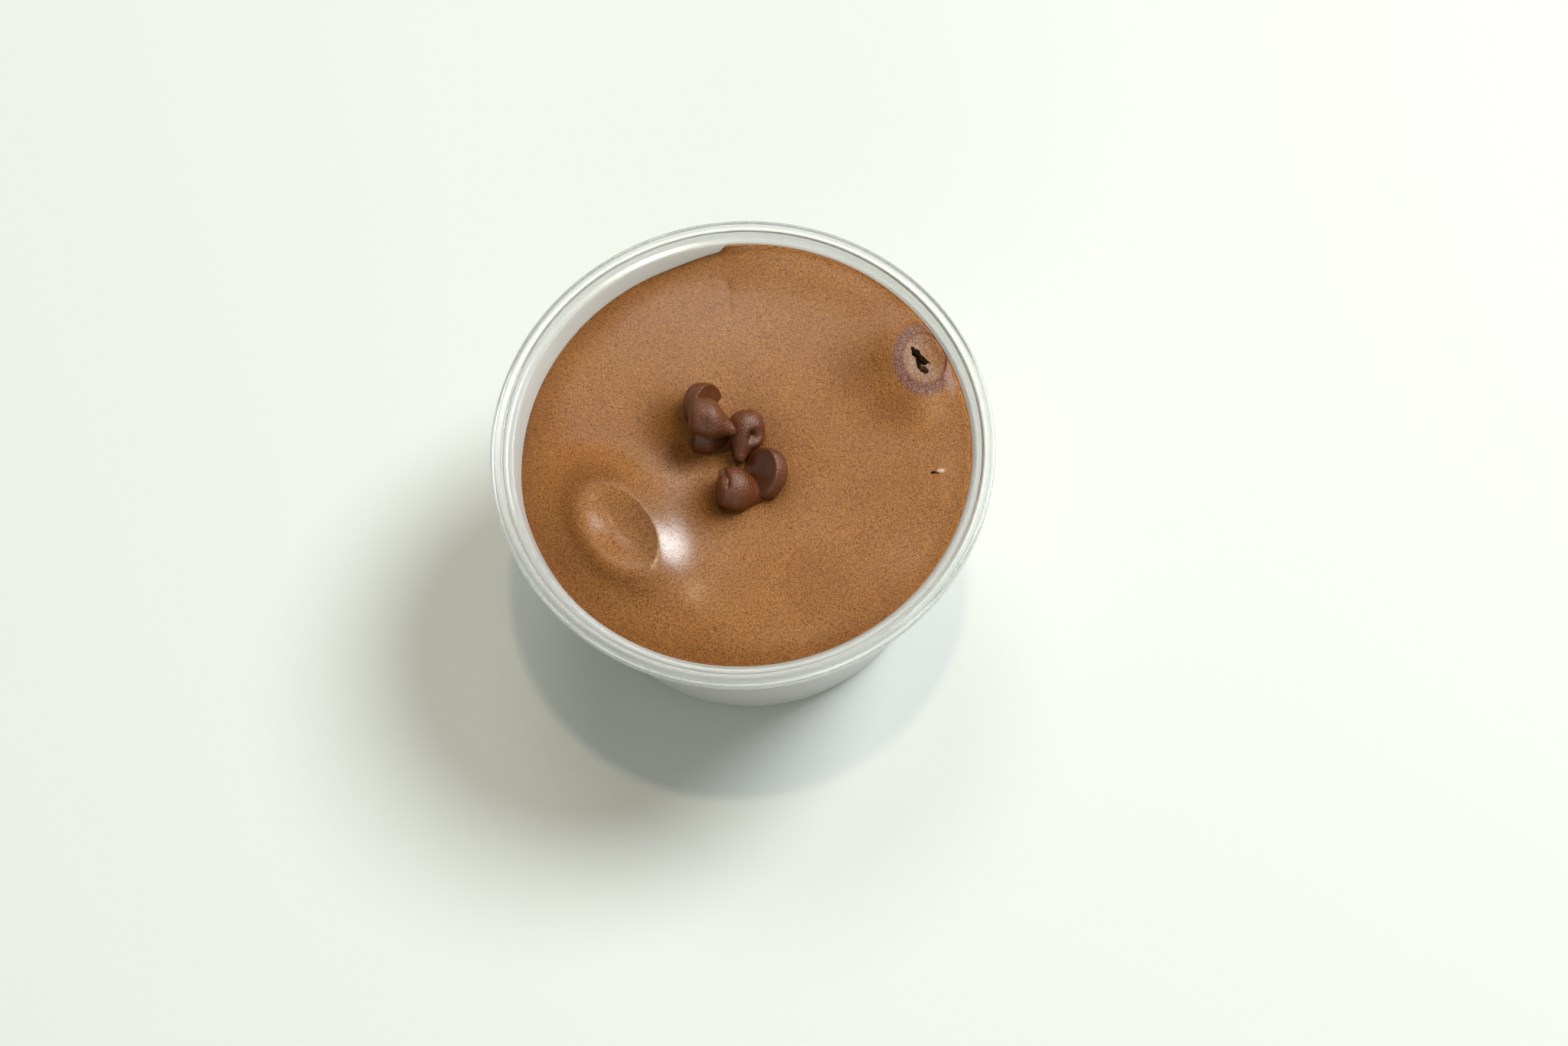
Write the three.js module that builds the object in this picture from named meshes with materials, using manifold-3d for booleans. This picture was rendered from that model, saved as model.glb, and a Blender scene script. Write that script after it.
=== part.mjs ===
// A dessert of chocolate mousse, set in a clear plastic cup and topped with six chocolate drops.
// Millimetres, +Z up. The origin is the middle of the foot ring that the cup stands on.

import * as THREE from 'three';
import { mergeVertices } from 'three/addons/utils/BufferGeometryUtils.js';
import Module from 'manifold-3d';

const wasm = await Module();
wasm.setup();

// Cup
const CUP_HEIGHT = 52;
const RIM_RADIUS = 47.5;
const BEAD_WIDTH = 0.8; // raised bead round the edge of the flange
const BEAD_GROOVE = 0.15;
const FLANGE_INNER = 45; // where the flange steps down to the ledge for a lid
const FLANGE_THICKNESS = 0.7;
const LEDGE_DROP = 1.2;
const LEDGE_OUTER = 44.7;
const SKIRT_DROP = 2.1; // how far the edge of the flange is turned down
const MOUTH_RADIUS = 43.2; // inner wall where it meets the ledge
const MOUTH_DROP = 1.7;
const FLOOR_RADIUS = 36.3; // inner wall, carried down to the floor
const FLOOR_LEVEL = 1.9;
const WALL = 0.6;
const FOOT_WIDTH = 2.2;
const FOOT_DEPTH = 1;
const SEGMENTS = 64;

// Mousse
const GAP = 0.3;
const LEVEL = 47.9; // height of the surface at the axis, before its swells
const SLOPE = 0.045; // it set slightly tilted, higher on the +X side
const DROOP = 1.2; // it turns down towards the wall
const DROOP_WIDTH = 3.5;
const CLIMB_LEVEL = 50.2; // where a film of it clings to the wall below the ledge
const CLIMB_WIDTH = 0.5;
const CLIMB_START = THREE.MathUtils.degToRad(93); // a sharp step in the edge
const CLIMB_STEP = THREE.MathUtils.degToRad(3);
const CLIMB_FADE = THREE.MathUtils.degToRad(-30); // and a slow fade at the other end
const CLIMB_END = THREE.MathUtils.degToRad(-75);
const RISE_SHARE = 0.6; // of the way up to the film, the surface rises by itself
const RISE_WIDTH = 6;
const RISE_LEAD = THREE.MathUtils.degToRad(15);
const RINGS = 16;

// Two swellings that sank in the middle: a wide soft one and a burst bubble at the wall.
// Each has a crisp crest on the side that crestTurn points to, and a soft one on the other.
const SWELLINGS = [
    {
        x: -24, y: -14.2, across: 5.9, along: 9.6, turn: 32, height: 3.1, sunk: 1.5,
        skirt: 6.5, softSkirt: 6, crestTurn: 8,
    },
    {
        x: 35.9, y: 15.2, across: 4.2, along: 5.4, turn: 0, height: 1.2, sunk: 1,
        skirt: 2.4, softSkirt: 5.5, crestTurn: 20,
    },
];
// Slow rises and dips of the whole surface: x, y, reach, height
const SWELLS = [
    [-41, -9, 9, 1.3], [26, 3, 7, -0.3], [12, -6, 6, -0.25], [33, -18, 9, -0.45], [-8, 24, 12, 0.2],
    [2, -28, 9, 0.2],
];

// Chocolate drops: a flat or domed base, a round bulge and a tip that may droop. Each has its base
// centre, the azimuth and elevation its tip points to, and the offset of the tip from that line.
// base is the radius of the base over the greatest radius, and dome is how far the base bulges out.
// One that is listed first keeps its whole shape where two press together.
const DROP_SIDES = 16;
const DROPS = {
    drop_top: {
        at: [-8.8, 5.2, 54.4], points: [-5, -3], radius: 3.75, length: 8.2, tip: [-0.2, -2.7, -0.7],
        base: 0.72, dome: 0.9,
    },
    drop_front: {
        at: [-4.5, -7.7, 50.2], points: [-7, -16], radius: 4.15, length: 9, tip: [0, -0.9, -0.3],
        base: 0.8, dome: 0.7,
    },
    drop_right: {
        at: [2.9, -5.5, 50.6], points: [7, -46], radius: 4.9, length: 6.2, tip: [0, -0.2, 0],
        base: 0.9,
    },
    drop_middle: {
        at: [2.4, 5.7, 50.6], points: [-123, -1], radius: 3.8, length: 9.7, tip: [1.9, -0.5, -0.9],
        base: 0.55, dome: 1.2,
    },
    drop_back: {
        at: [-5.8, 9.4, 49.7], points: [153, -30], radius: 4.2, length: 7.2, tip: [1, -0.5, -0.2],
        base: 0.92,
    },
    drop_under: { at: [-9.1, 4.5, 48.5], points: [-8, -15], radius: 3.8, length: 8, tip: [0, -0.4, -0.1] },
};
const DROP_BULGE = 0.32; // height of the greatest radius over the length
const DROP_TIP = 0.15;

const clearPlastic = new THREE.MeshStandardMaterial({ color: 0xe9eeec, roughness: 0.15, metalness: 0 });
const mousseBrown = new THREE.MeshStandardMaterial({ color: 0xa06a3e, roughness: 0.6, metalness: 0 });
const dropBrown = new THREE.MeshStandardMaterial({ color: 0x5a2c1c, roughness: 0.4, metalness: 0 });

function wallRadius(height) {
    const top = CUP_HEIGHT - MOUTH_DROP;
    return THREE.MathUtils.mapLinear(height, FLOOR_LEVEL, top, FLOOR_RADIUS, MOUTH_RADIUS);
}

// A profile turned about the axis, from the bottom up its outer side.
function turned(profile, sides) {
    const geometry = new THREE.LatheGeometry(profile, sides);
    geometry.rotateX(Math.PI / 2);
    return geometry;
}

function cupGeometry() {
    const rimEdge = CUP_HEIGHT - BEAD_GROOVE;
    const under = CUP_HEIGHT - FLANGE_THICKNESS;
    const skirtInner = RIM_RADIUS - WALL;
    const skirtEnd = CUP_HEIGHT - SKIRT_DROP;
    const bead = RIM_RADIUS - BEAD_WIDTH;
    const ledge = CUP_HEIGHT - LEDGE_DROP;
    const mouth = CUP_HEIGHT - MOUTH_DROP;
    const foot = FLOOR_RADIUS - FOOT_WIDTH;
    const outer = new THREE.Path();
    outer.moveTo(0, FOOT_DEPTH);
    outer.lineTo(foot - FOOT_DEPTH, FOOT_DEPTH);
    outer.lineTo(foot, 0);
    outer.lineTo(FLOOR_RADIUS - WALL, 0);
    outer.quadraticCurveTo(wallRadius(0) + WALL, 0, wallRadius(1) + WALL, 1);
    outer.lineTo(wallRadius(mouth - WALL) + WALL, mouth - WALL);
    outer.lineTo(LEDGE_OUTER + WALL, ledge - WALL);
    outer.lineTo(FLANGE_INNER + WALL, under);
    outer.lineTo(skirtInner, under);
    outer.lineTo(skirtInner, skirtEnd);
    outer.lineTo(RIM_RADIUS, skirtEnd);
    outer.lineTo(RIM_RADIUS, rimEdge - WALL / 2);
    outer.quadraticCurveTo(RIM_RADIUS, CUP_HEIGHT, RIM_RADIUS - BEAD_WIDTH / 2, CUP_HEIGHT);
    outer.lineTo(bead, rimEdge);
    outer.lineTo(bead - BEAD_GROOVE, CUP_HEIGHT);
    outer.lineTo(FLANGE_INNER + BEAD_GROOVE, CUP_HEIGHT);
    outer.quadraticCurveTo(FLANGE_INNER, CUP_HEIGHT, LEDGE_OUTER, ledge);
    outer.lineTo(MOUTH_RADIUS + WALL / 2, ledge - BEAD_GROOVE);
    outer.quadraticCurveTo(MOUTH_RADIUS, ledge - BEAD_GROOVE, MOUTH_RADIUS, mouth);
    outer.lineTo(wallRadius(FLOOR_LEVEL + 1.5), FLOOR_LEVEL + 1.5);
    outer.quadraticCurveTo(FLOOR_RADIUS, FLOOR_LEVEL, FLOOR_RADIUS - 1.5, FLOOR_LEVEL);
    outer.lineTo(0, FLOOR_LEVEL);
    return turned(outer.getPoints(2), SEGMENTS);
}

function swelling(one, px, py) {
    const angle = THREE.MathUtils.degToRad(one.turn);
    const dx = px - one.x;
    const dy = py - one.y;
    const u = dx * Math.cos(angle) + dy * Math.sin(angle);
    const v = dy * Math.cos(angle) - dx * Math.sin(angle);
    const reach = Math.hypot(u / one.across, v / one.along);
    const towards = Math.cos(Math.atan2(dy, dx) - THREE.MathUtils.degToRad(one.crestTurn));
    const crisp = THREE.MathUtils.smoothstep(towards, -0.1, 0.8);
    const outside = (Math.max(reach - 1, 0) * (one.across + one.along)) / 2;
    const inside = Math.max(1 - reach * reach, 0);
    const skirt = THREE.MathUtils.lerp(one.softSkirt, one.skirt, crisp);
    const raised = one.height * Math.exp(-((outside / skirt) ** (2 - 0.7 * crisp)));
    return raised - one.sunk * inside ** (2 - 0.9 * crisp);
}

// How far the mousse clings to the wall at an azimuth, from 0 to 1.
function cling(azimuth, easeIn, easeOut) {
    const start = THREE.MathUtils.smoothstep(CLIMB_START - azimuth, -easeIn, easeOut);
    return start * THREE.MathUtils.smoothstep(azimuth, CLIMB_END, CLIMB_FADE);
}

function surface(x, y) {
    const azimuth = Math.atan2(y, x);
    let level = LEVEL + SLOPE * x;
    for (const one of SWELLINGS) level += swelling(one, x, y);
    for (const [atX, atY, reach, height] of SWELLS) {
        level += height * Math.exp(-((x - atX) ** 2 + (y - atY) ** 2) / reach ** 2);
    }
    const toWall = Math.max(wallRadius(level) - Math.hypot(x, y), 0);
    const risen = cling(azimuth, RISE_LEAD, RISE_LEAD);
    level -= DROOP * (1 - risen) * Math.exp(-toWall / DROOP_WIDTH);
    level += RISE_SHARE * risen * Math.exp(-((toWall / RISE_WIDTH) ** 2)) * Math.max(CLIMB_LEVEL - level, 0);
    const film = cling(azimuth, 0, CLIMB_STEP) * Math.exp(-toWall / CLIMB_WIDTH);
    return level + film * Math.max(CLIMB_LEVEL - level, 0);
}

// Closed body through rings of equal length, with a pole below the first and above the last.
function skinned(rings, bottom, top) {
    const sides = rings[0].length;
    const points = [bottom, ...rings.flat(), top];
    const last = points.length - 1;
    const faces = [];
    for (let j = 0; j < sides; j++) {
        const next = (j + 1) % sides;
        faces.push(0, 1 + next, 1 + j);
        for (let i = 0; i < rings.length - 1; i++) {
            const low = 1 + i * sides;
            const high = low + sides;
            faces.push(low + j, low + next, high + next);
            faces.push(low + j, high + next, high + j);
        }
        faces.push(last, last - sides + j, last - sides + next);
    }
    const geometry = new THREE.BufferGeometry();
    geometry.setAttribute('position', new THREE.Float32BufferAttribute(points.flat(), 3));
    geometry.setIndex(faces);
    return geometry;
}

function mousseGeometry() {
    const bottom = FLOOR_LEVEL + GAP;
    const azimuths = Array.from({ length: SEGMENTS }, (_, j) => ((2 * Math.PI) * j) / SEGMENTS);
    const edges = azimuths.map((azimuth) => {
        let height = LEVEL;
        for (let pass = 0; pass < 4; pass++) {
            const radius = wallRadius(height) - GAP;
            height = surface(radius * Math.cos(azimuth), radius * Math.sin(azimuth));
        }
        return Math.min(height, CLIMB_LEVEL);
    });
    const atWall = (height, inset = 0) => azimuths.map((azimuth) => {
        const radius = wallRadius(height) - GAP - inset;
        return [radius * Math.cos(azimuth), radius * Math.sin(azimuth), height];
    });
    const rings = [atWall(bottom, 1.5), atWall(bottom + 1.5), atWall(LEVEL / 2)];
    for (let i = 0; i < RINGS; i++) {
        const share = Math.sin((Math.PI / 2) * (1 - i / RINGS));
        rings.push(azimuths.map((azimuth, j) => {
            const radius = share * (wallRadius(edges[j]) - GAP);
            const x = radius * Math.cos(azimuth);
            const y = radius * Math.sin(azimuth);
            return [x, y, i === 0 ? edges[j] : surface(x, y)];
        }));
    }
    return skinned(rings, [0, 0, bottom], [0, 0, surface(0, 0)]);
}

// One drop, grown all round by a margin where another piece has to clear it.
function dropGeometry({ at, points, radius, length, tip, base = 0.86, dome = 0 }, margin = 0) {
    const wide = radius + margin;
    const bulge = DROP_BULGE * length;
    const profile = [new THREE.Vector2(0, -margin - dome)];
    if (dome) profile.push(new THREE.Vector2(wide * base * 0.6, -margin - dome * 0.8));
    for (let i = 0; i <= 3; i++) {
        const angle = (Math.PI / 2) * (i / 3);
        const r = wide * THREE.MathUtils.lerp(base, 1, Math.sin(angle));
        profile.push(new THREE.Vector2(r, THREE.MathUtils.lerp(bulge, -margin, Math.cos(angle))));
    }
    for (let i = 1; i <= 7; i++) {
        const share = i / 8;
        const taper = (0.5 * (1 + Math.cos(Math.PI * share))) ** 0.7;
        const r = wide * THREE.MathUtils.lerp(DROP_TIP, 1, taper);
        profile.push(new THREE.Vector2(r, THREE.MathUtils.lerp(bulge, length, share)));
    }
    profile.push(new THREE.Vector2(0, length + margin));
    const geometry = turned(profile, DROP_SIDES);
    const [azimuth, elevation] = points.map(THREE.MathUtils.degToRad);
    geometry.rotateY(Math.PI / 2 - elevation);
    geometry.rotateZ(azimuth);
    const along = new THREE.Vector3(1, 0, 0);
    along.applyAxisAngle(new THREE.Vector3(0, -1, 0), elevation);
    along.applyAxisAngle(new THREE.Vector3(0, 0, 1), azimuth);
    const droop = new THREE.Vector3(...tip);
    const position = geometry.getAttribute('position');
    const point = new THREE.Vector3();
    for (let i = 0; i < position.count; i++) {
        point.fromBufferAttribute(position, i);
        const share = Math.max(point.dot(along) / length, 0);
        point.addScaledVector(droop, share * share);
        position.setXYZ(i, point.x, point.y, point.z);
    }
    geometry.translate(...at);
    return geometry;
}

function toSolid(geometry) {
    const bare = geometry.clone();
    bare.deleteAttribute('normal');
    bare.deleteAttribute('uv');
    const merged = mergeVertices(bare);
    const index = merged.getIndex().array;
    const triangles = [];
    for (let i = 0; i < index.length; i += 3) {
        const [a, b, c] = index.slice(i, i + 3);
        if (a !== b && b !== c && c !== a) triangles.push(a, b, c);
    }
    const vertices = Float32Array.from(merged.getAttribute('position').array);
    const mesh = new wasm.Mesh({ numProp: 3, vertProperties: vertices, triVerts: Uint32Array.from(triangles) });
    return new wasm.Manifold(mesh);
}

function toGeometry(solid) {
    const { vertProperties, triVerts } = solid.getMesh();
    const geometry = new THREE.BufferGeometry();
    geometry.setAttribute('position', new THREE.Float32BufferAttribute(vertProperties, 3));
    geometry.setIndex(Array.from(triVerts));
    geometry.computeVertexNormals();
    return geometry;
}

const dessert = new THREE.Group();

function add(name, geometry, material) {
    const mesh = new THREE.Mesh(geometry, material);
    mesh.name = name;
    dessert.add(mesh);
}

add('cup', cupGeometry(), clearPlastic);

let mousse = toSolid(mousseGeometry());
const margins = [];
for (const [name, drop] of Object.entries(DROPS)) {
    let solid = toSolid(dropGeometry(drop));
    for (const margin of margins) solid = solid.subtract(margin);
    add(name, toGeometry(solid), dropBrown);
    const margin = toSolid(dropGeometry(drop, GAP));
    margins.push(margin);
    mousse = mousse.subtract(margin);
}
add('mousse', toGeometry(mousse), mousseBrown);

export default dessert;
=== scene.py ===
# Chocolate mousse in a plastic cup, topped with chocolate drops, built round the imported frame.
# The cup is clear at the rim and milky in the wall.
# Metres, +Z up. The cup stands on the floor at the origin and is seen from above its -Y side.

import math

import bpy
import numpy as np
from mathutils import Matrix, Vector, noise


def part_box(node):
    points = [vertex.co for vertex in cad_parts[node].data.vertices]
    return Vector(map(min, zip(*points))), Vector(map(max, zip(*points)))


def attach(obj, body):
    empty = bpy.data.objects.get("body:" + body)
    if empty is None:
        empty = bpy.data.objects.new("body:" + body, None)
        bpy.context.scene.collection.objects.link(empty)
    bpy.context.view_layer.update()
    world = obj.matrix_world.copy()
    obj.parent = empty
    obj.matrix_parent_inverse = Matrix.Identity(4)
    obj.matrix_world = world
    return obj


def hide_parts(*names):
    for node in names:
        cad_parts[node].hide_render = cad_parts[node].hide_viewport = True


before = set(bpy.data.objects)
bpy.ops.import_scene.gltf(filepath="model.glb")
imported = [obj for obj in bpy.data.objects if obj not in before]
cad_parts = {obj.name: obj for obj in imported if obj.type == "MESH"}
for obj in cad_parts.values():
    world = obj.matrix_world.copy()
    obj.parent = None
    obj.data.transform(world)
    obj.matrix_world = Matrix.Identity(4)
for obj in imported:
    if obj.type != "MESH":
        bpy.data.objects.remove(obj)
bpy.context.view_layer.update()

MM = 0.001

# ---------------------------------------------------------------- sizes from the frame

_, CUP_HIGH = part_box("cup")
RIM_TOP = CUP_HIGH.z
RIM_RADIUS = CUP_HIGH.x

# cup
WALL = 0.6 * MM
BEAD_WIDTH = 0.8 * MM
BEAD_GROOVE = 0.15 * MM
FLANGE_INNER = RIM_RADIUS - 2.5 * MM
FLANGE_THICKNESS = 0.7 * MM
LEDGE_DROP = 1.2 * MM
LEDGE_OUTER = FLANGE_INNER - 0.3 * MM
SKIRT_DROP = 2.1 * MM
MOUTH_RADIUS = RIM_RADIUS - 4.3 * MM
MOUTH_LEVEL = RIM_TOP - 1.7 * MM
FLOOR_RADIUS = 36.3 * MM
FLOOR_LEVEL = 1.9 * MM
FOOT_WIDTH = 2.2 * MM
FOOT_DEPTH = 1 * MM
FOOT_CORNER = 1.2 * MM
SHOULDER = 1.4 * MM
FLOOR_CORNER = 1.5 * MM
CUP_STEPS = 224
# The plastic turns from clear to milky between these depths and widths, measured from the rim.
CLEAR_DEPTH, MILKY_DEPTH = 1.0 * MM, 2.2 * MM
CLEAR_WIDTH, MILKY_WIDTH = 1.5 * MM, 2.5 * MM

# mousse: its level at the axis, its slope towards +X, and how it climbs the wall on that side
LEVEL = 47.9 * MM
SLOPE = 0.045
CLIMB_LEVEL = RIM_TOP - 1.8 * MM
CLIMB_WIDTH = 0.5 * MM
RISE_SHARE = 0.6
RISE_WIDTH = 6 * MM
INTO_WALL = 0.1 * MM
CLIMB_START = math.radians(93)
CLIMB_STEP = math.radians(3)
RISE_LEAD = math.radians(15)
CLIMB_FADE = math.radians(-30)
CLIMB_END = math.radians(-75)
SIDE_TOP = LEVEL - 6 * MM
GRID = 240


# ---------------------------------------------------------------- modelling helpers

def clear_selection():
    if bpy.context.object and bpy.context.object.mode != "OBJECT":
        bpy.ops.object.mode_set(mode="OBJECT")
    bpy.ops.object.select_all(action="DESELECT")


def start(name):
    """Name the primitive that was just added and open it for editing."""
    piece = bpy.context.object
    piece.name = name
    piece.data.name = name
    bpy.ops.object.mode_set(mode="EDIT")
    bpy.ops.mesh.select_mode(type="VERT")
    return piece


def done(piece, smooth_angle):
    """Leave edit mode with the piece's place in its mesh."""
    bpy.ops.object.mode_set(mode="OBJECT")
    bpy.ops.object.transform_apply(location=True, rotation=True, scale=True)
    bpy.ops.object.shade_smooth_by_angle(angle=math.radians(smooth_angle))
    return piece


def turned(name, outline, steps):
    """Spin an outline of (radius, height) points about the Z axis into a closed body."""
    clear_selection()
    bpy.ops.mesh.primitive_plane_add(size=MM, location=(0, 0, 0))
    piece = start(name)
    bpy.ops.mesh.merge(type="CENTER")
    at = Vector((0, 0, 0))
    for i, (radius, height) in enumerate(outline):
        point = Vector((radius, 0, height))
        if i == 0:
            bpy.ops.transform.translate(value=point - at)
        else:
            bpy.ops.mesh.extrude_vertices_move(TRANSFORM_OT_translate={"value": point - at})
        at = point
    bpy.ops.mesh.select_all(action="SELECT")
    bpy.ops.mesh.spin(steps=steps, angle=2 * math.pi, center=(0, 0, 0), axis=(0, 0, 1))
    bpy.ops.mesh.select_all(action="SELECT")
    bpy.ops.mesh.remove_doubles(threshold=0.002 * MM)
    bpy.ops.mesh.normals_make_consistent(inside=False)
    return piece


def bend(start_point, corner, end_point, steps=5):
    """Points of a round stretch from one point to another, pulled towards a corner."""
    points = []
    for i in range(1, steps + 1):
        t = i / steps
        weights = ((1 - t) ** 2, 2 * t * (1 - t), t * t)
        points.append(tuple(sum(w * p[k] for w, p in zip(weights, (start_point, corner, end_point)))
                            for k in (0, 1)))
    return points


def vertices_of(piece):
    points = np.empty(len(piece.data.vertices) * 3)
    piece.data.vertices.foreach_get("co", points)
    return points.reshape(-1, 3)


def move_vertices(piece, points):
    piece.data.vertices.foreach_set("co", points.ravel())
    piece.data.update()


def store(piece, name, values):
    """Keep a value from 0 to 1 at every point, for the material to read."""
    layer = piece.data.attributes.new(name, "FLOAT", "POINT")
    layer.data.foreach_set("value", np.clip(values, 0, 1).astype(np.float32))


def smoothstep(low, high, value):
    t = np.clip((value - low) / (high - low), 0, 1)
    return t * t * (3 - 2 * t)


# ---------------------------------------------------------------- cup

def wall_radius(height):
    share = (height - FLOOR_LEVEL) / (MOUTH_LEVEL - FLOOR_LEVEL)
    return FLOOR_RADIUS + (MOUTH_RADIUS - FLOOR_RADIUS) * share


def build_cup():
    """The outline runs from the middle of the underside, up the outside, over the rim and down inside."""
    under = RIM_TOP - FLANGE_THICKNESS
    ledge = RIM_TOP - LEDGE_DROP
    skirt_inner = RIM_RADIUS - WALL
    skirt_end = RIM_TOP - SKIRT_DROP
    bead = RIM_RADIUS - BEAD_WIDTH
    foot = FLOOR_RADIUS - FOOT_WIDTH
    outline = [(0, FOOT_DEPTH), (foot - FOOT_DEPTH, FOOT_DEPTH)]
    outline += bend(outline[-1], (foot - 0.3 * MM, FOOT_DEPTH), (foot, 0.2 * MM), 3)
    outline += bend(outline[-1], (foot + 0.1 * MM, 0), (foot + 0.4 * MM, 0), 2)
    outline += [(FLOOR_RADIUS - WALL, 0)]
    outline += bend(outline[-1], (wall_radius(0) + WALL, 0), (wall_radius(FOOT_CORNER) + WALL, FOOT_CORNER))
    outline += [(wall_radius(MOUTH_LEVEL - SHOULDER) + WALL, MOUTH_LEVEL - SHOULDER)]
    ledge_under = ledge - WALL
    outline += bend(outline[-1], (wall_radius(ledge_under) + WALL, ledge_under), (LEDGE_OUTER, ledge_under), 4)
    outline += bend(outline[-1], (FLANGE_INNER + WALL, ledge_under), (FLANGE_INNER + WALL, under), 4)
    outline += [(skirt_inner, under), (skirt_inner, skirt_end + 0.2 * MM)]
    outline += bend(outline[-1], (skirt_inner, skirt_end), (RIM_RADIUS - WALL / 2, skirt_end), 3)
    outline += bend(outline[-1], (RIM_RADIUS, skirt_end), (RIM_RADIUS, skirt_end + WALL / 2), 3)
    outline += [(RIM_RADIUS, RIM_TOP - 0.45 * MM)]
    outline += bend(outline[-1], (RIM_RADIUS, RIM_TOP), (RIM_RADIUS - BEAD_WIDTH / 2, RIM_TOP))
    outline += bend(outline[-1], (bead + 0.2 * MM, RIM_TOP), (bead, RIM_TOP - BEAD_GROOVE), 3)
    outline += bend(outline[-1], (bead - 0.05 * MM, RIM_TOP - BEAD_GROOVE),
                    (bead - BEAD_GROOVE, RIM_TOP), 3)
    outline += [(FLANGE_INNER + 0.35 * MM, RIM_TOP)]
    outline += bend(outline[-1], (FLANGE_INNER, RIM_TOP),
                    (LEDGE_OUTER + 0.1 * MM, RIM_TOP - LEDGE_DROP / 2), 5)
    outline += bend(outline[-1], (LEDGE_OUTER, ledge), (LEDGE_OUTER - 0.4 * MM, ledge), 4)
    outline += [(MOUTH_RADIUS + 0.5 * MM, ledge - BEAD_GROOVE)]
    outline += bend(outline[-1], (MOUTH_RADIUS, ledge - BEAD_GROOVE), (MOUTH_RADIUS, MOUTH_LEVEL), 4)
    outline += [(wall_radius(FLOOR_LEVEL + FLOOR_CORNER), FLOOR_LEVEL + FLOOR_CORNER)]
    outline += bend(outline[-1], (FLOOR_RADIUS, FLOOR_LEVEL), (FLOOR_RADIUS - FLOOR_CORNER, FLOOR_LEVEL), 5)
    outline += [(0, FLOOR_LEVEL)]
    cup = turned("cup_shell", outline, CUP_STEPS)
    done(cup, smooth_angle=40)
    x, y, z = vertices_of(cup).T
    below_rim = smoothstep(RIM_TOP - CLEAR_DEPTH, RIM_TOP - MILKY_DEPTH, z)
    inside_rim = smoothstep(RIM_RADIUS - CLEAR_WIDTH, RIM_RADIUS - MILKY_WIDTH, np.hypot(x, y))
    store(cup, "milky", below_rim * inside_rim)
    return cup


# ---------------------------------------------------------------- mousse

# Swellings that sank in the middle, in mm: a wide soft one, and a burst bubble against the wall.
# Each has a crisp crest on the side that crest_turn points to, and a soft one on the other.
SOFT_SWELLING = dict(x=-24.0, y=-14.2, across=5.9, along=9.6, turn=32, height=3.1, sunk=1.5,
                     skirt=6.5, soft_skirt=6.0, crest_turn=8)
BUBBLE = dict(x=35.9, y=15.2, across=4.2, along=5.4, turn=0, height=1.2, sunk=1.0,
              skirt=2.4, soft_skirt=5.5, crest_turn=20)
DROOP = 1.2 * MM
DROOP_WIDTH = 3.5 * MM
# Slow rises and dips of the whole surface, as (x, y, reach, height) in mm.
SWELLS = [(-41, -9, 9, 1.3), (26, 3, 7, -0.3), (12, -6, 6, -0.25), (33, -18, 9, -0.45),
          (-8, 24, 12, 0.2), (2, -28, 9, 0.2)]
# Finer unevenness, in mm: slow waves all over, and wrinkles on the dry skin of the bubble.
WAVE_LENGTH, WAVE_HEIGHT = 14, 0.16
WRINKLE_LENGTH, WRINKLE_HEIGHT = 0.9, 0.07

# Openings in the skin as chains of (x, y, half width) in mm.
CRACK = [[(33.5, 18.0, 0.05), (33.9, 17.6, 0.38), (34.1, 17.1, 0.48), (34.4, 16.7, 0.85),
          (34.9, 16.0, 0.60), (35.2, 15.3, 0.96), (35.8, 14.8, 0.72), (36.4, 14.7, 0.30), (37.0, 14.3, 0.04)],
         [(34.5, 14.7, 0.24), (34.8, 13.9, 0.50), (35.4, 13.3, 0.74), (35.9, 12.8, 0.60), (35.7, 12.2, 0.10)]]
PINHOLE = [[(34.8, -8.0, 0.04), (35.3, -7.9, 0.32), (35.7, -8.0, 0.13), (36.2, -8.2, 0.18),
            (36.6, -8.4, 0.05)]]
# Skin lifted beside the pinhole, as (x, y, across, along, height) in mm, and where it is pale.
FLAP = (36.6, -7.8, 0.75, 0.45, 0.35)
LIP = (35.9, -8.5, 0.6, 0.22, 0.15)
FLAP_PALE = (36.7, -7.8, 0.8, 0.45)
# Short marks in the skin, as (start, end, half width, depth) in mm.
DENTS = [((-0.9, 36.0), (-0.5, 33.8), 1.0, 0.13), ((-0.8, 31.9), (-0.7, 29.3), 0.8, 0.08)]
# Painted shadow round the drops and painted shade beside the bubble, as (x, y, reach, amount) in mm.
PAINTED_SHADE_SPOTS = [(-12.5, 6.5, 7, 1), (-11, 1.5, 5.5, 1), (-6.5, -10, 6, 1), (0, 1, 9, 0.6), (5, -8, 6.5, 0.5),
        (25, 15, 6.5, 0.45), (28, 7, 5, 0.3)]
# Small pits, as (x, y, half width, depth) in mm.
PITS = [(-25.2, -16.8, 0.28, 0.5), (-7.6, -34.9, 0.25, 0.4)]


def chain_distance(x, y, chain):
    """Distance in mm to the outline of a chain of round spots, below zero inside."""
    best = np.full(x.shape, 1e3)
    for (x0, y0, w0), (x1, y1, w1) in zip(chain, chain[1:]):
        dx, dy = x1 - x0, y1 - y0
        t = np.clip(((x / MM - x0) * dx + (y / MM - y0) * dy) / (dx * dx + dy * dy), 0, 1)
        gap = np.hypot(x / MM - x0 - t * dx, y / MM - y0 - t * dy) - (w0 + (w1 - w0) * t)
        best = np.minimum(best, gap)
    return best


def opening_distance(x, y, chains):
    return np.minimum.reduce([chain_distance(x, y, chain) for chain in chains])


def spot_reach(x, y, spot):
    """Reach from the middle of an oval spot, 1 on its outline."""
    return np.hypot((x / MM - spot[0]) / spot[2], (y / MM - spot[1]) / spot[3])


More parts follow.
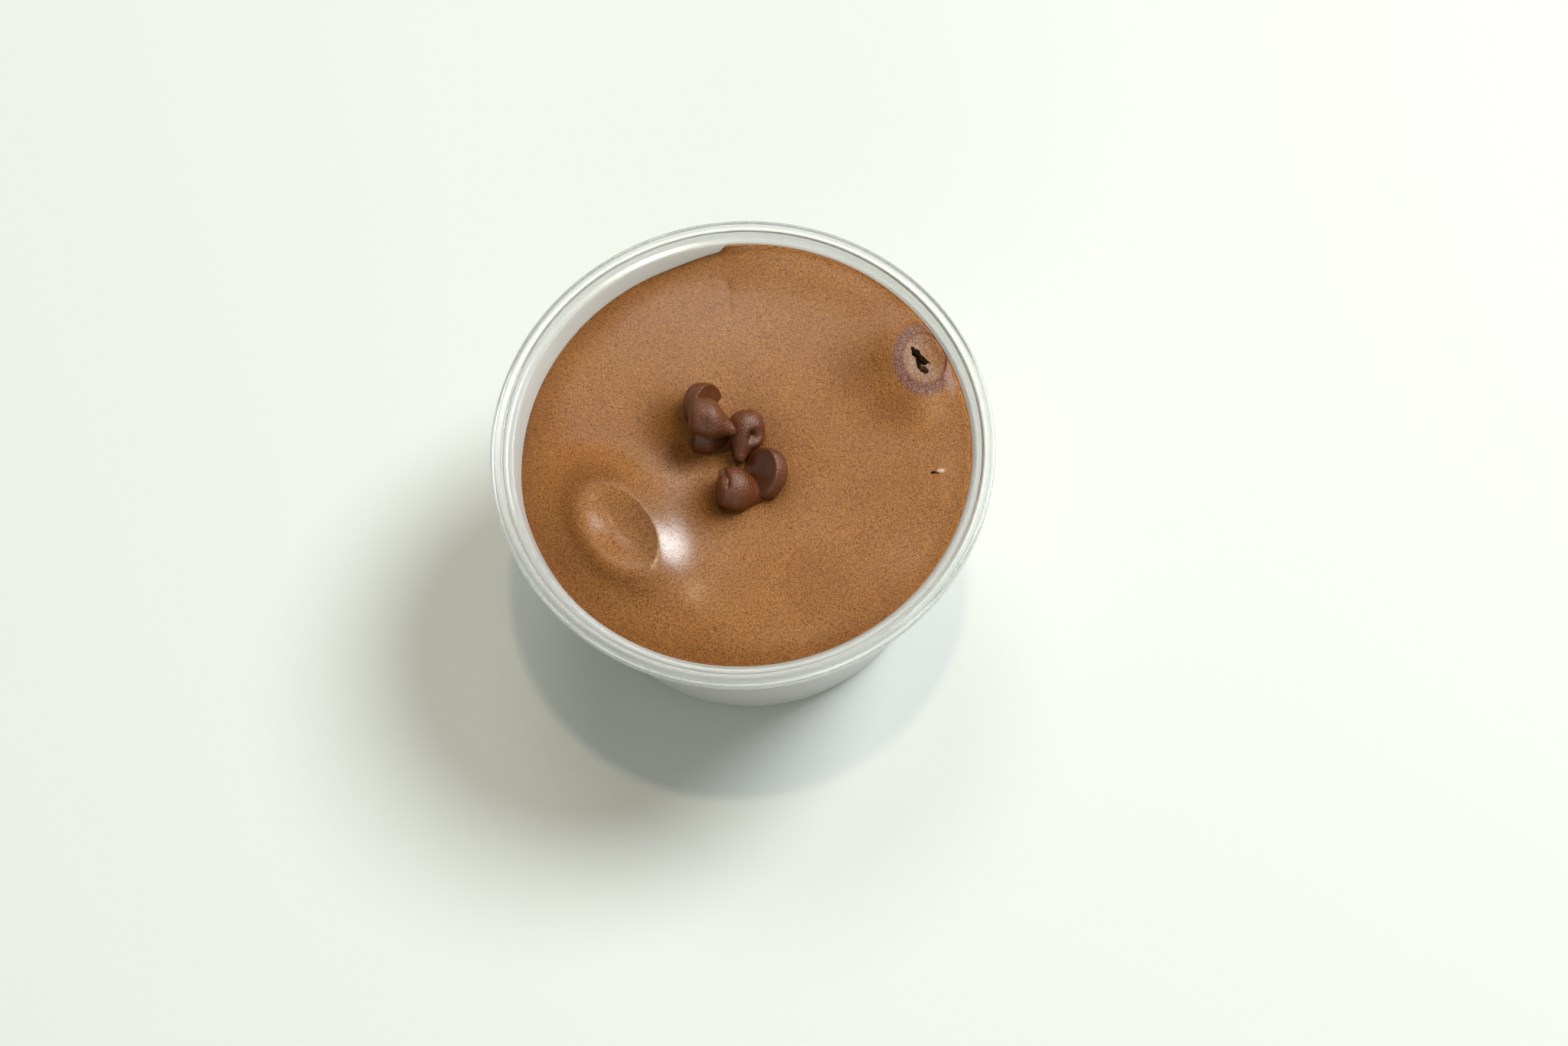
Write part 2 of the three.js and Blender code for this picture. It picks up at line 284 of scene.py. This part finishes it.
def swelling_place(x, y, spec):
    """Reach from a swelling's middle, 1 on its crest, and how crisp the crest is on that side."""
    turn = math.radians(spec["turn"])
    dx = x / MM - spec["x"]
    dy = y / MM - spec["y"]
    u = dx * math.cos(turn) + dy * math.sin(turn)
    v = dy * math.cos(turn) - dx * math.sin(turn)
    reach = np.hypot(u / spec["across"], v / spec["along"])
    towards = np.cos(np.arctan2(dy, dx) - math.radians(spec["crest_turn"]))
    return reach, smoothstep(-0.1, 0.8, towards)


def swelling(x, y, spec):
    reach, crisp = swelling_place(x, y, spec)
    mean = (spec["across"] + spec["along"]) / 2
    outside = np.maximum(reach - 1, 0) * mean
    inside = np.clip(1 - reach * reach, 0, 1)
    skirt = spec["soft_skirt"] + (spec["skirt"] - spec["soft_skirt"]) * crisp
    raised = spec["height"] * np.exp(-(outside / skirt) ** (2 - 0.7 * crisp))
    return (raised - spec["sunk"] * inside ** (2 - 0.9 * crisp)) * MM


def cling(azimuth, ease_in, ease_out):
    """1 where the mousse clings to the wall, easing in round the start of the climb."""
    begun = smoothstep(-ease_in, ease_out, CLIMB_START - azimuth)
    return begun * smoothstep(CLIMB_END, CLIMB_FADE, azimuth)


def surface(x, y):
    level = LEVEL + SLOPE * x + swelling(x, y, SOFT_SWELLING) + swelling(x, y, BUBBLE)
    for at_x, at_y, reach, height in SWELLS:
        level = level + height * MM * np.exp(-((x / MM - at_x) ** 2 + (y / MM - at_y) ** 2) / reach ** 2)
    to_wall = np.maximum(wall_radius(level) - np.hypot(x, y), 0)
    azimuth = np.arctan2(y, x)
    risen = cling(azimuth, RISE_LEAD, RISE_LEAD)
    level = level - DROOP * (1 - risen) * np.exp(-to_wall / DROOP_WIDTH)
    level += RISE_SHARE * risen * np.exp(-(to_wall / RISE_WIDTH) ** 2) * np.maximum(CLIMB_LEVEL - level, 0)
    film = cling(azimuth, 0, CLIMB_STEP) * np.exp(-to_wall / CLIMB_WIDTH)
    return level + film * np.maximum(CLIMB_LEVEL - level, 0)


def unevenness(x, y):
    reach, _ = swelling_place(x, y, BUBBLE)
    wrinkled = smoothstep(1.5, 0.9, reach)

    def ripple(px, py, length, layer):
        return noise.noise(Vector((px / MM / length, py / MM / length, layer)))

    wave = np.array([ripple(px, py, WAVE_LENGTH, 0.3) for px, py in zip(x, y)])
    fold = np.array([ripple(px, py, WRINKLE_LENGTH, 2.0) if w > 0 else 0
                     for px, py, w in zip(x, y, wrinkled)])
    return (WAVE_HEIGHT * wave + WRINKLE_HEIGHT * fold * wrinkled) * MM


def marks(x, y):
    """Dents, pits, and the lifted skin beside the pinhole."""
    down = np.zeros(len(x))
    for (x0, y0), (x1, y1), width, depth in DENTS:
        gap = np.maximum(chain_distance(x, y, [(x0, y0, 0), (x1, y1, 0)]), 0)
        down += depth * np.exp(-(gap / width) ** 2)
    for px, py, width, depth in PITS:
        down += depth * np.exp(-(np.hypot(x / MM - px, y / MM - py) / width) ** 2)
    flap = FLAP[4] * np.exp(-spot_reach(x, y, FLAP) ** 2)
    lip = LIP[4] * np.exp(-spot_reach(x, y, LIP) ** 2)
    return (flap + lip - down) * MM


def choose_faces(piece, wanted):
    """Open the piece for editing with just the faces selected whose middle is wanted(x, y)."""
    bpy.context.view_layer.objects.active = piece
    bpy.ops.object.mode_set(mode="EDIT")
    bpy.ops.mesh.select_mode(type="FACE")
    bpy.ops.mesh.select_all(action="DESELECT")
    bpy.ops.object.mode_set(mode="OBJECT")
    middles = np.array([polygon.center for polygon in piece.data.polygons])
    piece.data.polygons.foreach_set("select", wanted(middles[:, 0], middles[:, 1]))
    bpy.ops.object.mode_set(mode="EDIT")


def refine(piece, wanted):
    choose_faces(piece, wanted)
    bpy.ops.mesh.subdivide(number_cuts=1)
    bpy.ops.object.mode_set(mode="OBJECT")


def snap_to_outline(x, y, chains, within):
    """Slide the points that lie near an opening's outline onto it."""
    gap = opening_distance(x, y, chains)
    step = 0.02 * MM
    slope_x = (opening_distance(x + step, y, chains) - gap) / 0.02
    slope_y = (opening_distance(x, y + step, chains) - gap) / 0.02
    near = np.abs(gap) < within
    return x - np.where(near, gap * slope_x, 0) * MM, y - np.where(near, gap * slope_y, 0) * MM


def round_off(mousse):
    """Spread the square grid over a disc whose edge reaches into the wall at the height it will have."""
    flat = vertices_of(mousse)
    u, v = flat[:, 0], flat[:, 1]
    disc_x = u * np.sqrt(1 - v * v / 2)
    disc_y = v * np.sqrt(1 - u * u / 2)
    azimuth = np.arctan2(disc_y, disc_x)
    edge = np.full(len(flat), LEVEL)
    for _ in range(5):
        radius = wall_radius(edge) + INTO_WALL
        edge = np.minimum(surface(radius * np.cos(azimuth), radius * np.sin(azimuth)), CLIMB_LEVEL)
    move_vertices(mousse, np.stack([disc_x * radius, disc_y * radius, np.zeros(len(flat))], axis=1))


def refine_details(mousse):
    """Cut the faces finer round the swellings, openings and pits, and at the step on the wall."""
    def on_swelling(spec, inner, outer):
        def wanted(x, y):
            reach, _ = swelling_place(x, y, spec)
            return (reach > inner) & (reach < outer)
        return wanted

    refine(mousse, on_swelling(BUBBLE, -1, 1.6))
    refine(mousse, on_swelling(SOFT_SWELLING, 0.85, 1.12))
    for chains, reach in ((CRACK, 0.9), (PINHOLE, 1.0)):
        refine(mousse, lambda x, y: opening_distance(x, y, chains) < reach)
    refine(mousse, lambda x, y: opening_distance(x, y, PINHOLE) < 0.6)
    for px, py, width, _ in PITS:
        refine(mousse, lambda x, y: np.hypot(x / MM - px, y / MM - py) < 4 * width)
    refine(mousse, lambda x, y: (np.abs(x / MM + 1) < 1.6) & (y / MM > 40.5))


def raise_surface(mousse):
    """Lift the disc to the surface, with its fine marks fading out at the wall."""
    points = vertices_of(mousse)
    x, y = points[:, 0], points[:, 1]
    for chains in (CRACK, PINHOLE):
        x, y = snap_to_outline(x, y, chains, 0.05)
    rim = np.hypot(x, y) / wall_radius(LEVEL)
    z = surface(x, y) + (unevenness(x, y) + marks(x, y)) * smoothstep(1.0, 0.97, rim)
    z = np.where(rim > 0.995, np.minimum(z, CLIMB_LEVEL), z)
    move_vertices(mousse, np.stack([x, y, z], axis=1))


def close_below(mousse):
    """Draw the edge down the wall to the floor of the cup and close it there."""
    bpy.ops.object.mode_set(mode="EDIT")
    bpy.ops.mesh.select_all(action="SELECT")
    bpy.ops.mesh.region_to_loop()
    bpy.ops.mesh.extrude_region_move()
    bpy.ops.object.mode_set(mode="OBJECT")
    set_ring(mousse, SIDE_TOP)
    for height in (LEVEL / 2, FLOOR_LEVEL + FLOOR_CORNER, FLOOR_LEVEL - INTO_WALL):
        bpy.ops.object.mode_set(mode="EDIT")
        bpy.ops.mesh.extrude_region_move()
        bpy.ops.object.mode_set(mode="OBJECT")
        set_ring(mousse, height, FLOOR_CORNER if height < FLOOR_LEVEL else 0)
    bpy.ops.object.mode_set(mode="EDIT")
    bpy.ops.mesh.edge_face_add()
    bpy.ops.mesh.select_all(action="SELECT")
    bpy.ops.mesh.normals_make_consistent(inside=False)


def hollow(piece, chains, middle, steps):
    """Sink the skin inside an opening by steps of (depth, widening), so that a dark space lies under it."""
    choose_faces(piece, lambda x, y: opening_distance(x, y, chains) < 0)
    x, y = middle
    for depth, widening in steps:
        bpy.ops.mesh.extrude_region_move(TRANSFORM_OT_translate={"value": (0, 0, -depth * MM)})
        bpy.ops.transform.resize(value=(widening, widening, 1), center_override=(x * MM, y * MM, 0))
    bpy.ops.object.mode_set(mode="OBJECT")


def set_ring(piece, height, inset=0):
    """Lay the selected loop flat against the wall at a height."""
    for vertex in piece.data.vertices:
        if vertex.select:
            azimuth = math.atan2(vertex.co.y, vertex.co.x)
            radius = wall_radius(height) + INTO_WALL - inset
            vertex.co = (radius * math.cos(azimuth), radius * math.sin(azimuth), height)


def tint_mousse(mousse):
    """Store masks for the material to read: dried skin, paler as painted light on slopes facing the light;
    specks, darkened as painted shade; painted shade in the creased ring, in the openings, round the drops and
    along the edges; painted light on the film at the wall; wet gloss.
    """
    points = vertices_of(mousse)
    x, y, z = points.T
    top = z > LEVEL - 4 * MM
    reach, crisp = swelling_place(x, y, BUBBLE)
    soft_reach, soft_crisp = swelling_place(x, y, SOFT_SWELLING)
    crack = opening_distance(x, y, CRACK)
    pinhole = opening_distance(x, y, PINHOLE)
    flap = spot_reach(x, y, FLAP_PALE)
    to_wall = (wall_radius(z) - np.hypot(x, y)) / MM
    azimuth = np.arctan2(y, x)
    clinging = cling(azimuth, 0, CLIMB_STEP)
    # Painted shade: darker along the steep band at the right wall, along the edges that droop away from the
    # light, and on the soft outer flank of the wide swelling. With the painted shadows round the drops these
    # make one mask.
    right_edge = 0.3 * smoothstep(4, 0.5, to_wall) * smoothstep(20, 38, x / MM)
    shaded_edge = 0.42 * smoothstep(7, 0.5, to_wall) * (1 - cling(azimuth, RISE_LEAD, RISE_LEAD))
    shaded_outer_flank = 0.55 * np.exp(-((soft_reach - 1.3) / 0.3) ** 2) * (1 - soft_crisp)
    painted_shadow_spots = [
        amount * np.exp(-(((x / MM - at_x) ** 2 + (y / MM - at_y) ** 2) / spread ** 2) ** 1.5)
        for at_x, at_y, spread, amount in PAINTED_SHADE_SPOTS]
    tints = {
        # Paler dry skin on the bubble's disc, the wide crater and the flap. The extra paleness on the soft
        # side, on the inner slope that faces the light, is painted light.
        "dry": np.maximum.reduce([smoothstep(1.05, 0.85, reach) * (1 - 0.7 * crisp),
                                  0.05 * smoothstep(1.0, 0.6, soft_reach) * (1 - 0.8 * soft_crisp),
                                  smoothstep(1.2, 0.6, flap)]) * top,
        "flap": smoothstep(1.2, 0.7, flap),
        # Specks on the bubble's soft outer flank. Their darkness there is painted shade, because the flank
        # faces away from the light.
        "bruise": smoothstep(1.62, 1.25, reach) * smoothstep(0.85, 1.1, reach) * (1 - 0.85 * crisp) * top,
        # Painted shade: a dark line in the crease at the bubble's crest, strongest on the crisp side, where
        # the inner wall faces away from the light.
        "crease": np.exp(-((reach - 1.0) / 0.08) ** 2) * (0.35 + 0.65 * crisp) * top,
        # Painted shade: near black inside the crack and the pinhole, over the hollow under them.
        "deep": np.maximum(smoothstep(0.0, -0.12, crack), smoothstep(0.0, -0.1, pinhole)),
        # Painted light: the film that clings to the wall is made lighter and more orange, standing in for
        # light coming through the milky wall behind it.
        "edge": smoothstep(1.2, 0.2, to_wall) * clinging * top,
        "wet": np.exp(-((x / MM + 15.5) / 7) ** 2 - ((y / MM + 14) / 11) ** 2),
        "sheen": smoothstep(0, 38, y / MM - 0.3 * x / MM),
        "damp": np.max(painted_shadow_spots + [shaded_edge, right_edge, shaded_outer_flank], axis=0) * top,
    }
    for name, values in tints.items():
        store(mousse, name, values)


def build_mousse():
    clear_selection()
    bpy.ops.mesh.primitive_grid_add(x_subdivisions=GRID, y_subdivisions=GRID, size=2)
    mousse = start("mousse_fill")
    bpy.ops.object.mode_set(mode="OBJECT")
    round_off(mousse)
    refine_details(mousse)
    raise_surface(mousse)
    hollow(mousse, CRACK, (35.2, 15.2), ((0.25, 1.0), (1.3, 2.2), (0.7, 0.8)))
    hollow(mousse, PINHOLE, (35.6, -8.1), ((0.2, 1.0), (0.5, 1.3), (0.4, 0.7)))
    close_below(mousse)
    done(mousse, smooth_angle=50)
    tint_mousse(mousse)
    return mousse


# ---------------------------------------------------------------- drops

# Each lies with the middle of its base at `at` and its tip towards `points` (azimuth, elevation).
# Sizes are in mm, and base, bulge and point are shares of the radius, the length and the radius.
# tip: how far the tip is drawn aside. base: width of the base. bulge: where the drop is widest.
# point: width just before the tip. full: how fast it narrows, fuller below 1.
# dome: how far the base bulges out, or sinks in below zero.
# pits: where the skin is pinched in, or raised below zero, as (x, y, z, reach, depth) in mm.
# disc: how smooth the flat base is, and how far it is darkened as painted shade.
DROPS = {
    "drop_top": dict(at=(-8.8, 5.2, 54.4), points=(-5, -3), radius=3.75, length=8.2,
                     tip=(-0.2, -2.7, -0.7), base=0.72, dome=0.9, bulge=0.38, point=0.3, full=0.95),
    "drop_front": dict(at=(-4.5, -7.7, 50.2), points=(-7, -16), radius=4.15, length=9, tip=(0, -0.9, -0.3),
                       base=0.8, dome=0.7, full=0.8,
                       pits=[(-3.9, -5.6, 52.3, 0.6, 0.6), (-3.6, -6.5, 53.1, 0.6, 0.9),
                             (-3.3, -7.4, 53.6, 0.6, 1.0), (-3.2, -8.2, 53.6, 0.55, 1.0),
                             (-3.3, -9.0, 53.5, 0.5, 0.8),
                             (-4.4, -5.4, 51.6, 0.8, -0.6), (-4.1, -7.4, 53.0, 0.7, -0.4)]),
    "drop_right": dict(at=(2.9, -5.5, 50.6), points=(7, -46), radius=4.9, length=6.2, tip=(0, -0.2, 0),
                       base=0.9, disc=1.0),
    "drop_middle": dict(at=(2.4, 5.7, 50.6), points=(-123, -1), radius=3.8, length=9.7,
                        tip=(1.9, -0.5, -0.9), base=0.55, dome=1.2, point=0.3, full=1.15,
                        pits=[(2.5, 0.8, 53.2, 1.0, 1.9), (1.8, 0.1, 52.7, 0.7, 0.7),
                              (3.3, -0.6, 52.4, 1.2, -0.8)]),
    "drop_back": dict(at=(-5.8, 9.4, 49.7), points=(153, -30), radius=4.2, length=7.2, tip=(1, -0.5, -0.2),
                      base=0.92, dome=-0.15, disc=0.35),
    "drop_under": dict(at=(-9.1, 4.5, 48.5), points=(-8, -15), radius=3.8, length=8, tip=(0, -0.4, -0.1)),
}
DROP_SIDES = 112
LUMP_LENGTH, LUMP_HEIGHT = 3.2, 0.22
DISC_EDGE = 0.96


def drop_outline(radius, length, base, bulge, point, full, dome):
    """From the middle of the base, out to the widest place and on to the tip."""
    outline = [(0, -dome * MM)]
    for i in range(1, 8):
        share = i / 8 * base * 0.97
        rise = math.sqrt(1 - (share / base) ** 2) if dome > 0 else smoothstep(1, 0.82, share / base)
        outline.append((radius * share * MM, -dome * rise * MM))
    for i in range(15):
        angle = math.pi / 2 * i / 14
        r = radius * (base + (1 - base) * math.sin(angle))
        along = bulge * length * (1 - math.cos(angle))
        outline.append((r * MM, along * MM))
    for i in range(1, 32):
        share = i / 32
        taper = (0.5 * (1 + math.cos(math.pi * share))) ** full
        cap = math.sqrt(1 - share ** 12)
        r = radius * (point + (1 - point) * taper) * cap
        outline.append((r * MM, length * (bulge + (1 - bulge) * share) * MM))
    outline.append((0, length * MM))
    return outline


def build_drop(name, at, points, radius, length, tip, base=0.86, bulge=0.32, point=0.15, full=0.7,
               dome=0, pits=(), disc=0.0):
    drop = turned(name, drop_outline(radius, length, base, bulge, point, full, dome), DROP_SIDES)
    drop = done(drop, smooth_angle=50)
    azimuth, elevation = (math.radians(a) for a in points)
    turn = Matrix.Rotation(azimuth, 4, "Z") @ Matrix.Rotation(math.pi / 2 - elevation, 4, "Y")
    along = np.array(turn @ Vector((0, 0, 1)))
    drop.data.transform(turn)
    place = vertices_of(drop)
    share = np.maximum(place @ along / (length * MM), 0)
    from_axis = np.linalg.norm(place - np.outer(place @ along, along), axis=1)
    flat = smoothstep(base, DISC_EDGE * base, from_axis / (radius * MM)) * smoothstep(0.2, 0.08, share)
    store(drop, "disc", disc * flat)
    normals = np.array([vertex.normal for vertex in drop.data.vertices])
    lumps = np.array([noise.noise(Vector(p) / MM / LUMP_LENGTH + Vector(at)) for p in place])
    place = place + np.outer(share ** 2, np.array(tip) * MM) + np.array(at) * MM
    place = place + normals * lumps[:, None] * LUMP_HEIGHT * MM
    for *middle, reach, depth in pits:
        gap = np.linalg.norm(place / MM - middle, axis=1)
        place -= normals * (depth * MM * np.exp(-(gap / reach) ** 2))[:, None]
    move_vertices(drop, place)
    return drop


# ---------------------------------------------------------------- materials

class Socket:
    """A shader socket that does maths: value + 1, 1 - mask, a * b."""

    def __init__(self, shader, link):
        self.shader = shader
        self.link = link

    def _math(self, operation, *values):
        return self.shader.node("ShaderNodeMath", {"operation": operation}, dict(enumerate(values)))

    def __add__(self, other):
        return self._math("ADD", self, other)

    def __radd__(self, other):
        return self._math("ADD", other, self)

    def __sub__(self, other):
        return self._math("SUBTRACT", self, other)

    def __rsub__(self, other):
        return self._math("SUBTRACT", other, self)

    def __mul__(self, other):
        return self._math("MULTIPLY", self, other)

    def __rmul__(self, other):
        return self._math("MULTIPLY", other, self)

    def clamp(self):
        return self.shader.node("ShaderNodeClamp", {}, {"Value": self})


class Shader:
    def __init__(self, name):
        self.material = bpy.data.materials.new(name)
        self.material.use_nodes = True
        self.tree = self.material.node_tree
        self.tree.nodes.clear()
        self.output = self.tree.nodes.new("ShaderNodeOutputMaterial")

    def node(self, kind, settings, inputs, out=0):
        made = self.tree.nodes.new(kind)
        for key, value in settings.items():
            if key == "stops":
                ramp = made.color_ramp
                while len(ramp.elements) < len(value):
                    ramp.elements.new(1)
                for element, (position, colour) in zip(ramp.elements, value):
                    element.position = position
                    element.color = (*colour, 1)
            else:
                setattr(made, key, value)
        for key, value in inputs.items():
            if isinstance(value, Socket):
                self.tree.links.new(value.link, made.inputs[key])
            else:
                made.inputs[key].default_value = value
        return Socket(self, made.outputs[out])

    def place(self):
        return self.node("ShaderNodeTexCoord", {}, {}, out="Object")

    def attribute(self, name):
        return self.node("ShaderNodeAttribute", {"attribute_name": name}, {}, out="Fac")

    def noise(self, place, scale, detail, roughness):
        return self.node("ShaderNodeTexNoise", {}, {
            "Vector": place, "Scale": scale, "Detail": detail, "Roughness": roughness})

    def mix(self, factor, first, second, blend="MIX"):
        return self.node("ShaderNodeMix", {"data_type": "RGBA", "blend_type": blend},
                         {0: factor, 6: first, 7: second}, out=2)

    def ramp(self, factor, stops):
        return self.node("ShaderNodeValToRGB", {"stops": stops}, {"Fac": factor})

    def bump(self, height, strength, distance):
        return self.node("ShaderNodeBump", {}, {"Height": height, "Strength": strength, "Distance": distance})

    def finish(self, surface):
        self.tree.links.new(surface.link, self.output.inputs["Surface"])
        return self.material


def mousse_material():
    """A brown foam with grain and pores, tinted where tint_mousse says; some tints are painted shade and
    painted light.
    """
    shader = Shader("chocolate_mousse")
    place = shader.place()
    dry, bruise, crease, deep, edge, wet, sheen, damp, flap = (
        shader.attribute(name)
        for name in ("dry", "bruise", "crease", "deep", "edge", "wet", "sheen", "damp", "flap"))
    grain = shader.noise(place, 5200, 1, 0.5)
    clump = shader.noise(place, 2600, 1, 0.5)
    fleck = shader.noise(place, 4200, 1, 0.5)
    pore = shader.noise(place, 1300, 4, 0.7)
    cloud = shader.noise(place, 70, 3, 0.5)
    colour = shader.ramp(cloud, [(0.3, (0.300, 0.110, 0.021)), (0.7, (0.355, 0.144, 0.034))])
    colour = shader.mix(wet * 0.5, colour, (0.20, 0.08, 0.02, 1))
    # Painted shadow and painted shade, darker and duller round the drops, beside the bubble and along the
    # edges.
    colour = shader.mix(damp * 0.85, colour, (0.13, 0.040, 0.002, 1))
    # Painted light on the clinging film at the wall.
    colour = shader.mix(edge * 0.6, colour, (0.48, 0.19, 0.045, 1))
    speckled = shader.ramp(fleck, [(0.38, (0.085, 0.020, 0.014)), (0.66, (0.36, 0.18, 0.13))])
    # Specks, darkened as painted shade on the bubble's soft outer flank.
    colour = shader.mix(bruise, colour, speckled)
    # Dry skin, paler still as painted light on inner slopes facing the light.
    colour = shader.mix((dry * 0.9).clamp(), colour, (0.33, 0.205, 0.14, 1))
    colour = shader.mix(flap, colour, (0.62, 0.44, 0.34, 1))
    # Painted shade in the crease at the bubble's crest.
    colour = shader.mix(crease * 0.9, colour, (0.12, 0.022, 0.006, 1))
    shade = shader.ramp(pore, [(0.28, (0.45, 0.36, 0.30)), (0.42, (1, 1, 1))])
    colour = shader.mix(0.8, colour, shade, "MULTIPLY")
    mottle = shader.ramp(grain * 0.5 + clump * 0.5,
                         [(0.36, (0.62, 0.53, 0.42)), (0.64, (1.32, 1.38, 1.48))])
    colour = shader.mix(1.0, colour, mottle, "MULTIPLY")
    # Painted shade inside the openings.
    colour = shader.mix(deep, colour, (0.03, 0.006, 0.002, 1))
    normal = shader.bump(grain + clump + pore * 0.5, 0.9, 0.00016)
    glint = ((grain + clump) * 2.2 - 1.3).clamp()
    coat = (0.16 + wet * (0.3 + glint * 0.6) + sheen * 0.25) * (1 - dry * 0.8) * (1 - damp)
    rough = 0.52 + dry * 0.2 + damp * 0.3
    return shader.finish(shader.node("ShaderNodeBsdfPrincipled", {}, {
        "Base Color": colour, "Roughness": rough, "Normal": normal, "IOR": 1.5,
        "Specular IOR Level": 0.22, "Coat Weight": coat, "Coat Roughness": 0.27, "Coat IOR": 1.7,
        "Subsurface Weight": 0.25, "Subsurface Scale": 0.0014,
        "Subsurface Radius": (1.0, 0.4, 0.15)}))


def chocolate_material():
    shader = Shader("milk_chocolate")
    place = shader.place()
    speck = shader.noise(place, 2600, 3, 0.6)
    disc = shader.attribute("disc")
    tone = shader.ramp(shader.noise(place, 300, 3, 0.5),
                       [(0.3, (0.105, 0.026, 0.006)), (0.7, (0.155, 0.041, 0.009))])
    # Painted shade: the flat base darkened, most on drop_right, whose base lies in the shadow of drop_front.
    tone = shader.mix(disc * 0.6, tone, (0.060, 0.013, 0.003, 1))
    normal = shader.bump(speck * (1 - disc * 0.85), 1.0, 0.00022)
    return shader.finish(shader.node("ShaderNodeBsdfPrincipled", {}, {
        "Base Color": tone, "Roughness": 0.3, "Normal": normal, "IOR": 1.5, "Specular IOR Level": 0.7,
        "Subsurface Weight": 0.05, "Subsurface Scale": 0.001, "Subsurface Radius": (1.0, 0.4, 0.2)}))


def plastic_material():
    """Clear over the rim, milky in the wall."""
    shader = Shader("clear_plastic")
    flow = shader.noise(shader.place(), 260, 3, 0.6)
    normal = shader.bump(flow, 0.12, 0.0002)
    clear = shader.node("ShaderNodeBsdfPrincipled", {}, {
        "Base Color": (0.86, 0.88, 0.87, 1), "Roughness": 0.1, "IOR": 1.49, "Transmission Weight": 0.85,
        "Normal": normal})
    milky = shader.node("ShaderNodeBsdfPrincipled", {}, {
        "Base Color": (0.98, 0.98, 0.96, 1), "Roughness": 0.28, "IOR": 1.49, "Transmission Weight": 0.42,
        "Normal": normal})
    return shader.finish(shader.node("ShaderNodeMixShader", {}, {
        0: shader.attribute("milky"), 1: clear, 2: milky}))


def floor_material():
    shader = Shader("pale_floor")
    return shader.finish(shader.node("ShaderNodeBsdfPrincipled", {}, {
        "Base Color": (0.70, 0.72, 0.69, 1), "Roughness": 0.6}))


# ---------------------------------------------------------------- floor, light and camera

def build_floor():
    clear_selection()
    bpy.ops.mesh.primitive_plane_add(size=3, location=(0, 0, 0))
    floor = bpy.context.object
    floor.name = "floor"
    floor.data.materials.append(floor_material())


CAMERA_LENS = 45.7
CAMERA_SENSOR = 36
CAMERA_ELEVATION = math.radians(69)
CAMERA_ROLL = math.radians(-4.4)
# The camera's place from the middle of the rim, along its own right, up and back.
CAMERA_PLACE = (7.9 * MM, -15.0 * MM, 373.5 * MM)


def build_light():
    world = bpy.data.worlds.new("soft_room")
    bpy.context.scene.world = world
    world.use_nodes = True
    world.node_tree.nodes["Background"].inputs["Color"].default_value = (0.90, 1.0, 0.95, 1)
    world.node_tree.nodes["Background"].inputs["Strength"].default_value = 0.27

    def lamp(name, azimuth, elevation, distance, size, power, colour):
        """A round lamp that faces the rim, in degrees, metres and watts."""
        data = bpy.data.lights.new(name, "AREA")
        data.shape = "DISK"
        data.size = size
        data.energy = power
        data.color = colour
        made = bpy.data.objects.new(name, data)
        bpy.context.scene.collection.objects.link(made)
        a, e = math.radians(azimuth), math.radians(elevation)
        towards = Vector((math.cos(a) * math.cos(e), math.sin(a) * math.cos(e), math.sin(e)))
        made.location = towards * distance + Vector((0, 0, RIM_TOP))
        made.rotation_euler = towards.to_track_quat("Z", "Y").to_euler()

    lamp("ceiling_lamp", 63, 81, 3, 0.16, 14.5, (1.0, 0.82, 0.55))
    lamp("window", 30, 50, 3, 1.35, 88, (0.94, 0.98, 1.0))
    lamp("far_panel", 95, 57, 3, 1.2, 16, (1.0, 0.96, 0.86))
    lamp("bounce", -100, 18, 3, 2, 15, (1.0, 0.96, 0.86))


def build_camera():
    data = bpy.data.cameras.new("camera")
    data.lens = CAMERA_LENS
    data.sensor_width = CAMERA_SENSOR
    camera = bpy.data.objects.new("camera", data)
    bpy.context.scene.collection.objects.link(camera)
    turn = Matrix.Rotation(math.pi / 2 - CAMERA_ELEVATION, 4, "X") @ Matrix.Rotation(CAMERA_ROLL, 4, "Z")
    place = Vector((0, 0, RIM_TOP)) + turn @ Vector(CAMERA_PLACE)
    camera.matrix_world = Matrix.Translation(place) @ turn
    bpy.context.scene.camera = camera


# ---------------------------------------------------------------- assembly

def stand_for(piece, node, material):
    piece.data.materials.clear()
    piece.data.materials.append(material)
    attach(piece, "root")
    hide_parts(node)


def main():
    stand_for(build_cup(), "cup", plastic_material())
    stand_for(build_mousse(), "mousse", mousse_material())
    chocolate = chocolate_material()
    for node, spec in DROPS.items():
        stand_for(build_drop(node + "_piece", **spec), node, chocolate)
    build_floor()
    build_light()
    build_camera()
    bpy.context.scene.view_settings.view_transform = "Standard"


main()
